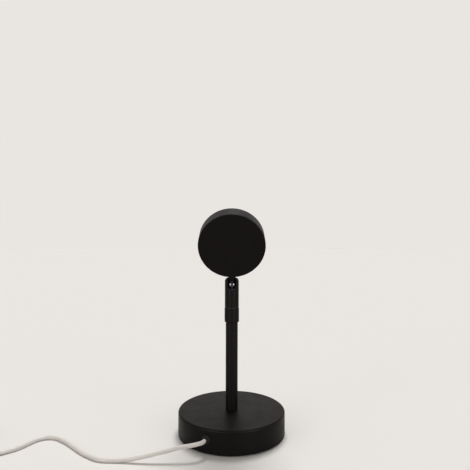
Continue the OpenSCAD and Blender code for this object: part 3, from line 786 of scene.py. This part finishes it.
# White PVC sheath of the lead: a soft, waxy off-white with broad uneven glints.
WHITE_PVC = SoftPvc("white PVC sheath, extruded", "#E0DCD6", 0.38)
# White ABS of the switch and the plug: a clean off-white, satin from the mould's fine texture.
WHITE_ABS = MouldedPlastic("white ABS, moulded", "#E4E1DB", 0.42, shade="#DCD9D2", glow=0.08)
# Grey ABS of the rocker: smoother and darker than its housing, so that it stands out from it.
GREY_ABS = MouldedPlastic(
    "grey ABS, moulded", "#BDBAB4", 0.34, shade="#B5B2AB", relief=(Bumps(apart=0.45, high=0.002),)
)
# White solder mask over the aluminium board: a flat, bright white with a slight gloss.
SOLDER_MASK = MouldedPlastic("white solder mask on aluminium", "#E9E9E4", 0.3, shade="#DDDDD6")
# Phosphor over the emitter: a deep yellow, grainy under a skin that looks wet.
PHOSPHOR = Phosphor("phosphor in silicone", "#E8C22E", 0.5)
# Coated filter glass: amber to red, deep in colour, since its coating holds some of the light.
FILTER_GLASS = CoatedGlass("coated filter glass, orange", "#FF6C14", 0.02, clear=0.78)
# Ground lens glass: clear enough to see the filter and the emitter behind it.
LENS_GLASS = OpticalGlass("optical glass, polished", "#FBFBF6", 0.01)
# Dead matt paint of the floor: pale and without any shine, so that only shadows show on it.
FLOOR_PAINT = MattPaint("dead matt floor paint", "#E9E6E2", 0.9, specular=0.0)


def settle(piece: Piece, body: Body, slot: Slot, finish: Finish, *stands_for: str) -> None:
    """Gives a new piece its finish and its body, in place of CAD nodes.

    Args:
        piece: the piece, in place.
        body: body that it rides on.
        slot: material slot of the record; not used.
        finish: its finish.
        stands_for: CAD nodes that it replaces.
    """
    piece.data.materials.append(material_of(finish))
    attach(piece, body.value)
    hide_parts(*stands_for)


# ---------- shared places ----------


@dataclass(frozen=True)
class Layout:
    """Places and sizes that several sub-assemblies share.

    Attributes:
        drum_rise: how far the middle of the drum is up the neck from the ball's centre.
        wall_out: radius of the base's wall outside.
        outlet_bearing: bearing of the lead's outlet, 25 degrees to the left of straight back.
        outlet_z: height of the outlet.
        snout: how far the outlet's bush stands out of the wall.
        lead_d: diameter of the lead.
        parting_z: height of the plane between the switch's two halves, where the lead enters.
        switch_at: middle of the switch's rocker.
        switch_bearing: bearing of the switch's length, towards the plug.
    """

    drum_rise: float = 42.5
    wall_out: float = in_mm(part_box("base_shell")[1]).x
    outlet_bearing: float = -115.0
    outlet_z: float = 13.0
    snout: float = 3.0
    lead_d: float = 3.5
    parting_z: float = 4.5
    switch_at: Place = in_mm(hinge("rocker_tilt")["pos_m"])
    switch_bearing: float = 215.5

    def head(self) -> Matrix:
        """Returns the head's place: origin at the ball's centre, +Z up the neck, +Y along the beam."""
        return Matrix.Translation((0, 0, BALL_Z)) @ rotation(HEAD_TILT, "X")

    def drum(self) -> Matrix:
        """Returns the drum's place: origin at its middle, +Z along the beam."""
        return self.head() @ Matrix.Translation((0, 0, self.drum_rise)) @ rotation(-90, "X")

    def outlet(self) -> Matrix:
        """Returns the lead outlet's place: +Z runs out through the base's wall."""
        sideways = rotation(self.outlet_bearing, "Z") @ rotation(90, "Y")
        return Matrix.Translation((0, 0, self.outlet_z)) @ sideways

    def out(self, distance: float, height: float) -> Point:
        """Returns the point that far from the pole's axis on the outlet's bearing, at a height."""
        return point_from(POLE, self.outlet_bearing, distance, height)

    def past_bush(self, distance: float) -> Point:
        """Returns the point on the outlet's axis that far past the tip of its bush."""
        return self.out(self.wall_out + self.snout + distance, self.outlet_z)

    def beside_switch(self, distance: float) -> Point:
        """Returns the point of the switch's axis that far past its middle, towards the plug."""
        return point_from(self.switch_at, self.switch_bearing, distance, self.parting_z)


@dataclass
class SubAssembly:
    """A group of pieces that is built and dressed together.

    Attributes:
        layout: the shared places.
        FINISHES: names of the CAD nodes that have each finish.
    """

    layout: Layout

    FINISHES: ClassVar[dict[Finish, tuple[str, ...]]]

    def build(self) -> list[Piece]:
        """Builds the new pieces and returns them; a group of CAD nodes alone has none."""
        return []

    def dress(self) -> None:
        """Gives the group's CAD nodes their finishes."""
        for finish, names in self.FINISHES.items():
            for name in names:
                node = frame["nodes"][name]
                if not node.material_slots:
                    node.data.materials.append(None)
                for slot in node.material_slots:
                    slot.material = material_of(finish)
                log.info("dressed %s: %s", name, finish.label)


# ---------- lead ----------


@dataclass
class Lead(SubAssembly):
    """The white lead on the table: from the base to the switch, then wound up, to the plug.

    Its route repeats the CAD's, which follows the photograph as far as that shows it.

    Attributes:
        turns: turns of the coil, half of them in each of its two layers.
        turn_steps: points to a turn.
        pitch: distance between two turns, and between the two layers.
        coil_r: radius of the outermost turn.
        coil_at: middle of the coil's lower layer.
        climb: share of a turn in which the lead climbs to the upper layer.
        entry: distance of the lead's end from the switch's middle, inside its nose.
        approach: distance from that middle at which the lead is straight.
        plug_y: where the lead enters the plug's moulding.
        plug_z: height of the plug's axis, half the moulding's.
    """

    turns: int = 9
    turn_steps: int = 24
    pitch: float = 4.1
    coil_r: float = 28.75
    coil_at: Place = Place(-245.0, -28.0, 2.35)
    climb: float = 0.5
    entry: float = 17.5
    approach: float = 27.0
    plug_y: float = in_mm(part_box("usb_moulding")[0]).y
    plug_z: float = in_mm(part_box("usb_moulding")[1]).z / 2

    FINISHES = {BLACK_STRAP: ("coil_ties",)}
    SWITCH_PIECES: ClassVar[tuple[str, ...]] = (
        "switch_base", "switch_cover", "switch_screws", "switch_contacts", "rocker_pin", "switch_rocker"
    )
    PLUG_PIECES: ClassVar[tuple[str, ...]] = (
        "coil_ties", "usb_moulding", "usb_shell", "usb_tongue", "usb_contacts"
    )

    def run_line(self) -> list[Point]:
        """Lists the points of the lead from the base's outlet to the switch.

        Returns:
            The points in millimetres.
        """
        low = self.layout.lead_d / 2
        straight_out = 3.0
        down_to_table = [
            (-27, -53.5, 13), (-33, -56, 12.7), (-41, -57.4, 12), (-51.5, -58.5, 9.6), (-63, -59.3, 7.2),
            (-74, -59.4, 4.6), (-85, -59, 2.5),
        ]
        on_table = [
            (-94, -58.6), (-103, -58.3), (-110, -56.6), (-117, -52.4), (-125, -46.4), (-133, -39),
            (-142, -30.3), (-151, -22.8), (-159, -18), (-166, -17), (-172, -19.4), (-176.5, -24.5),
            (-180, -31), (-184, -37.5), (-189.5, -42.8),
        ]
        up_to_switch = [(-197, -48.4, 2.3), (-205, -54, 3.8)]
        return [
            self.layout.past_bush(0),
            self.layout.past_bush(straight_out),
            *down_to_table,
            *((x, y, low) for x, y in on_table),
            *up_to_switch,
            self.layout.beside_switch(-self.approach),
            self.layout.beside_switch(-self.entry),
        ]

    def coil_point(self, turn: float) -> Point:
        """Finds the middle of the wound lead after some turns: in along one layer, out on the next.

        Args:
            turn: number of turns from the coil's start.

        Returns:
            The point in millimetres.
        """
        half = self.turns / 2
        radius = self.coil_r - self.pitch * (half - abs(turn - half))
        layer = min(1.0, max(0.0, (turn - half) / self.climb + 0.5))
        return point_from(self.coil_at, 180 - 360 * turn, radius, self.coil_at.z + self.pitch * layer)

    def wound_line(self) -> list[Point]:
        """Lists the points of the lead from the switch, through the coil, to the plug.

        Returns:
            The points in millimetres.
        """
        low = self.layout.lead_d / 2
        side = self.coil_at.x - self.coil_r
        top = self.coil_at.z + self.pitch
        turned_back = [(-259, -90.5, 3.2), (-266, -89, 2.2), (-271.5, -84.5, low), (-273.5, -77, low)]
        straight_ys = (-68, -59, -50, -41)
        # How far past the coil's end, and how far down from its upper layer.
        down_to_plug = [(12, 0.4), (18, 1.2)]
        steps = self.turns * self.turn_steps
        return [
            self.layout.beside_switch(self.entry),
            self.layout.beside_switch(self.approach),
            *turned_back,
            *((side, y, low) for y in straight_ys),
            *(self.coil_point(i / self.turn_steps) for i in range(steps + 1)),
            *((side, self.coil_at.y + ahead, top - drop) for ahead, drop in down_to_plug),
            (side, self.plug_y - self.layout.lead_d, self.plug_z),
            (side, self.plug_y, self.plug_z),
        ]

    def declare(
        self, piece: Piece, line: Sequence[Point], far_end: FarEnd, lay: Lay, names: Sequence[str]
    ) -> None:
        """Does nothing: the lead is not declared as a cord here.

        Args:
            piece: the lead's curve; not used.
            line: its points in millimetres; not used.
            far_end: what is on its far end; not used.
            lay: how it lies; not used.
            names: CAD nodes on it; not used.
        """

    def build(self) -> list[Piece]:
        """Builds the two lengths of lead.

        Returns:
            The two pieces.
        """
        radius = self.layout.lead_d / 2
        run, wound = self.run_line(), self.wound_line()
        to_switch = tube_curve("lead_to_switch", run, radius, sides=20, steps=8)
        to_plug = tube_curve("lead_to_plug", wound, radius, sides=14, steps=3)
        settle(to_switch, Body.STAND, Slot.WHITE_PVC, WHITE_PVC, "cord_run")
        settle(to_plug, Body.STAND, Slot.WHITE_PVC, WHITE_PVC, "cord_link", "cord_coil", "cord_tail")
        self.declare(to_switch, run, FarEnd.FITTING, Lay.LOOSE, self.SWITCH_PIECES)
        self.declare(to_plug, wound, FarEnd.PLUG, Lay.COILED, self.PLUG_PIECES)
        return [to_switch, to_plug]


# ---------- stand ----------


@dataclass
class Stand(SubAssembly):
    """Base, pole and the fixed half of the swivel, with the lead inside them.

    Attributes:
        inner_lead_r: radius of the lead inside.
        shell_t: thickness of the base's wall.
        flange_r: radius of the bush's two flanges.
        flange_t: how far the inner flange reaches into the base.
        neck_r: radius of the bush between them, in the wall's hole.
        bore_r: radius of its bore.
        tip_r: radius of the snout's tip.
    """

    inner_lead_r: float = 1.5
    shell_t: float = 1.6
    flange_r: float = 4.0
    flange_t: float = 1.35
    neck_r: float = 3.05
    bore_r: float = 1.8
    tip_r: float = 2.4

    FINISHES = {
        STEEL_COAT: ("base_shell", "pole"),
        ALLOY_COAT: ("swivel_collar",),
        IRON: ("base_weight",),
        BLACK_ABS: ("bottom_plate", "cable_tie", "friction_washer"),
        BLACK_RUBBER: ("rubber_feet",),
        ZINC: ("plate_screws", "nipple_washer", "nipple_nut", "retaining_ring"),
        ZINC_THREAD: ("pole_nipple",),
    }

    def lead_grommet(self) -> Piece:
        """Builds the rubber bush in the wall: two flanges and a short ribbed snout.

        Returns:
            The piece.
        """
        tip = self.layout.snout
        behind_wall = [
            (self.bore_r, -self.flange_t), (self.flange_r, -self.flange_t), (self.flange_r, -0.2),
            (self.neck_r, -0.15),
        ]
        before_wall = [(self.neck_r, 0.02), (self.flange_r, 0.02), (self.flange_r - 0.1, 1.0)]
        first_rib = [(3.15, 1.2), (3.0, 1.5), (2.65, 1.6), (2.65, 1.85)]
        second_rib = [(2.85, 1.95), (2.75, 2.3), (2.4, 2.4), (2.4, 2.6)]
        snout_end = [(self.tip_r + 0.1, 2.68), (self.tip_r, tip), (self.bore_r, tip)]
        outline = [(r, self.layout.wall_out - self.shell_t + z) for r, z in behind_wall]
        outline += [
            (r, self.layout.wall_out + z) for r, z in before_wall + first_rib + second_rib + snout_end
        ]
        return turned("lead_grommet", outline, self.layout.outlet(), steps=64, closed=True, edge=0.07)

    def lead_inside(self) -> Piece:
        """Builds the lead from the base's wall, under the weight and up the pole to the ball.

        Returns:
            The piece.
        """
        # Each point's distance out from the pole's axis, and its height.
        route = [
            (46, 13), (40, 13), (35, 11.6), (31, 8.8), (27, 6.2), (22, 5.2), (14, 5), (7, 5), (3.2, 5.3),
            (0.9, 6.8), (0, 9.5), (0, 20), (0, 133),
        ]
        inside = [self.layout.out(distance, height) for distance, height in route]
        return tube_curve("lead_in_stand", [self.layout.past_bush(0), *inside], self.inner_lead_r)

    def build(self) -> list[Piece]:
        """Builds the bush and the lead inside.

        Returns:
            The two pieces.
        """
        grommet, lead = self.lead_grommet(), self.lead_inside()
        settle(grommet, Body.STAND, Slot.BLACK_RUBBER, BLACK_RUBBER, "cord_grommet")
        settle(lead, Body.STAND, Slot.WHITE_PVC, WHITE_PVC, "inner_lead")
        return [grommet, lead]


# ---------- swivel ----------


@dataclass
class Swivel(SubAssembly):
    """The turning sleeve with the ball's seat and spring.

    Attributes:
        spring_r: radius of the spring at the middle of its wire.
        wire_d: diameter of the wire.
        spring_turns: its turns.
        turn_steps: points to a turn.
    """

    spring_r: float = 3.2
    wire_d: float = 0.9
    spring_turns: int = 4
    turn_steps: int = 16

    FINISHES = {ALLOY_COAT: ("socket_sleeve",), BRASS: ("swivel_bush",), NYLON: ("ball_seat",)}

    def spring_wire(self) -> Piece:
        """Builds the compression spring as one helix of round wire, as high as its CAD node.

        Returns:
            The piece.
        """
        low, high = (in_mm(corner).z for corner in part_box("seat_spring"))
        start, rise = low + self.wire_d / 2, high - low - self.wire_d
        steps = self.spring_turns * self.turn_steps
        points = [
            point_from(POLE, 360 * i / self.turn_steps, self.spring_r, start + rise * i / steps)
            for i in range(steps + 1)
        ]
        return tube_curve("seat_spring_wire", points, self.wire_d / 2, steps=3)

    def build(self) -> list[Piece]:
        """Builds the spring.

        Returns:
            The one piece.
        """
        spring = self.spring_wire()
        settle(spring, Body.SLEEVE, Slot.ZINC_STEEL, SPRING_STEEL, "seat_spring")
        return [spring]


# ---------- head ----------


@dataclass
class Head(SubAssembly):
    """The drum on its ball, with the light source, the filter and the lens.

    Attributes:
        lens_r: radius of the lens, half its width in the CAD.
        lens_back: how far the lens's flat back is along the beam from the drum's middle.
        lens_edge: height of its straight rim.
        lens_bevel: width of the small bevel round its back.
        dome_rise: rise of its face over the rim.
        dome_steps: steps of the face's outline.
        head_lead_r: radius of the lead inside.
    """

    lens_r: float = in_mm(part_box("lens")[1]).x
    lens_back: float = 10.0
    lens_edge: float = 3.0
    lens_bevel: float = 0.3
    dome_rise: float = 7.0
    dome_steps: int = 28
    head_lead_r: float = 0.9

    FINISHES = {
        BLACK_NICKEL: ("swivel_ball",),
        ALLOY_COAT: ("head_barrel", "front_bezel", "lens_ring"),
        ZINC: ("stud_nut", "board_screws", "filter_clip"),
        SILICONE_PAD: ("thermal_pad",),
        SOLDER_MASK: ("led_board",),
        PHOSPHOR: ("led_emitter",),
        BLACK_ABS: ("filter_holder",),
        FILTER_GLASS: ("color_filter",),
        BLACK_RUBBER: ("lens_gasket",),
    }

    def lens_glass(self) -> Piece:
        """Builds the lens: a flat back with a small bevel, a straight rim and a domed face.

        Returns:
            The piece.
        """
        dome_r = (self.lens_r ** 2 + self.dome_rise ** 2) / (2 * self.dome_rise)
        centre = self.lens_back + self.lens_edge + self.dome_rise - dome_r
        reach = math.asin(self.lens_r / dome_r)
        outline = [
            (0.0, self.lens_back),
            (self.lens_r - self.lens_bevel, self.lens_back),
            (self.lens_r, self.lens_back + self.lens_bevel),
        ]
        for i in range(self.dome_steps + 1):
            angle = reach * (1 - i / self.dome_steps)
            outline.append((dome_r * math.sin(angle), centre + dome_r * math.cos(angle)))
        return turned("lens_glass", outline, self.layout.drum(), steps=160)

    def lead_inside(self) -> Piece:
        """Builds the thin lead from the ball's bore to the board.

        Returns:
            The piece.
        """
        # Each point's distance along the beam, and up the neck, from the ball's centre.
        route = [
            (0, 1.5), (0, 8), (0, 14), (0, 18.5), (-1.1, 20.6), (-3, 22), (-3.5, 24.5), (-3.5, 27.5)
        ]
        head = self.layout.head()
        points = [tuple(head @ Vector((0, along, up))) for along, up in route]
        return tube_curve("lead_in_head", points, self.head_lead_r)

    def build(self) -> list[Piece]:
        """Builds the lens and the lead inside.

        Returns:
            The two pieces.
        """
        lens, lead = self.lens_glass(), self.lead_inside()
        settle(lens, Body.HEAD, Slot.LENS_GLASS, LENS_GLASS, "lens")
        settle(lead, Body.HEAD, Slot.WHITE_PVC, WHITE_PVC, "head_lead")
        return [lens, lead]


# ---------- switch and plug ----------


@dataclass
class InlineSwitch(SubAssembly):
    """The in-line rocker switch, whose CAD nodes keep their shapes."""

    FINISHES = {
        WHITE_ABS: ("switch_base", "switch_cover"),
        GREY_ABS: ("switch_rocker",),
        ZINC: ("switch_screws", "rocker_pin"),
        BRASS: ("switch_contacts",),
    }


@dataclass
class Plug(SubAssembly):
    """The USB plug, whose CAD nodes keep their shapes."""

    FINISHES = {WHITE_ABS: ("usb_moulding", "usb_tongue"), ZINC: ("usb_shell",), BRASS: ("usb_contacts",)}


# ---------- studio ----------


@dataclass(frozen=True)
class SoftSun:
    """A far, wide light, which lights the whole floor evenly.

    Attributes:
        name: name of the light.
        azimuth: bearing that it comes from.
        elevation: its height over the horizon.
        spread: width of its disc, which softens the shadows.
        strength: light that falls square on a surface, in watts to a square metre.
        shine_only: whether it shows only as a glint on what is glossy.
    """

    name: str
    azimuth: float
    elevation: float
    spread: float
    strength: float
    shine_only: bool = False

    def hang(self) -> None:
        """Makes the light and turns it towards the lamp."""
        data = bpy.data.lights.new(self.name, "SUN")
        data.angle = math.radians(self.spread)
        data.energy = self.strength
        light = new_object(self.name, data)
        light.visible_diffuse = not self.shine_only
        turn, rise = math.radians(self.azimuth), math.radians(self.elevation)
        towards = Vector((math.cos(turn) * math.cos(rise), math.sin(turn) * math.cos(rise), math.sin(rise)))
        light.matrix_world = towards.to_track_quat("Z", "Y").to_matrix().to_4x4()


@dataclass
class Studio:
    """Camera, pale floor, plain world and soft lights.

    Attributes:
        camera_at: the photograph's place, solved from the outline of the base.
        camera_roll_rad: its roll in radians.
        focal_px: its focal length in pixels of the photograph.
        frame_px: width of the photograph.
        sensor: width of the sensor, which the focal length is turned to.
        near_m: nearest distance it sees, in metres.
        far_m: farthest distance it sees, in metres.
        floor_r: radius of the floor.
        floor_steps: sides of the floor's rim.
        ambient: share of the world's light that falls on matt surfaces.
        suns: its lights; the last two give the ball its two glints.
    """

    camera_at: Place = Place(2.88, -428.2, 186.0)
    camera_roll_rad: float = 0.002
    focal_px: float = 452.7
    frame_px: int = 470
    sensor: float = 36.0
    near_m: float = 0.02
    far_m: float = 50.0
    floor_r: float = 6000.0
    floor_steps: int = 96
    ambient: float = 0.41
    suns: tuple[SoftSun, ...] = (
        SoftSun("key", azimuth=80.0, elevation=72.0, spread=24.0, strength=2.0),
        SoftSun("fill_left", azimuth=220.0, elevation=21.0, spread=30.0, strength=0.35),
        SoftSun("fill_right", azimuth=318.0, elevation=17.0, spread=30.0, strength=0.28),
        SoftSun("glint_left", azimuth=236.0, elevation=10.0, spread=21.0, strength=1.8, shine_only=True),
        SoftSun("glint_right", azimuth=309.0, elevation=10.0, spread=21.0, strength=1.8, shine_only=True),
    )

    def camera(self) -> None:
        """Puts the camera at the photograph's place."""
        data = bpy.data.cameras.new("camera")
        data.sensor_width = self.sensor
        data.lens = self.focal_px / self.frame_px * self.sensor
        data.clip_start = self.near_m
        data.clip_end = self.far_m
        camera = new_object("camera", data)
        camera.matrix_world = (
            Matrix.Translation(Vector(self.camera_at) * MM)
            @ rotation(90, "X")
            @ Matrix.Rotation(self.camera_roll_rad, 4, "Z")
        )
        bpy.context.scene.camera = camera

    def floor(self) -> None:
        """Lays the pale floor."""
        bm = bmesh.new()
        bmesh.ops.create_circle(bm, cap_ends=True, radius=self.floor_r, segments=self.floor_steps)
        floor = finished_mesh(bm, "floor", Matrix.Identity(4))
        floor.data.materials.append(material_of(FLOOR_PAINT))

    def world(self) -> None:
        """Sets a world of the floor's colour: full where it is seen, mirrored or behind glass, else less."""
        world = bpy.data.worlds.new("studio")
        bpy.context.scene.world = world
        world.use_nodes = True
        tree = world.node_tree
        tree.nodes.clear()
        rays = add_node(tree, "ShaderNodeLightPath").outputs
        shown = rays["Is Camera Ray"]
        for kind in ("Is Glossy Ray", "Is Transmission Ray"):
            either = add_node(tree, "ShaderNodeMath", {0: shown, 1: rays[kind]}, operation="MAXIMUM")
            shown = either.outputs[0]
        share = {"Value": shown, "To Min": self.ambient, "To Max": 1.0}
        strength = add_node(tree, "ShaderNodeMapRange", share).outputs["Result"]
        light = {"Color": linear(FLOOR_PAINT.colour), "Strength": strength}
        sky = add_node(tree, "ShaderNodeBackground", light)
        add_node(tree, "ShaderNodeOutputWorld", {"Surface": sky.outputs["Background"]})

    def build(self) -> None:
        """Sets up the whole studio."""
        self.camera()
        self.floor()
        self.world()
        for sun in self.suns:
            sun.hang()


def main() -> None:
    """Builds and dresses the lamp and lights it."""
    logging.basicConfig(level=logging.INFO, format="%(name)s: %(message)s")
    Studio().build()
    layout = Layout()
    groups: list[SubAssembly] = [
        Lead(layout), Stand(layout), Swivel(layout), Head(layout), InlineSwitch(layout), Plug(layout)
    ]
    for group in groups:
        for piece in group.build():
            log.info("%s built %s", type(group).__name__, piece.name)
        group.dress()
    bpy.context.scene.view_settings.view_transform = "Standard"


if __name__ == "__main__":
    main()
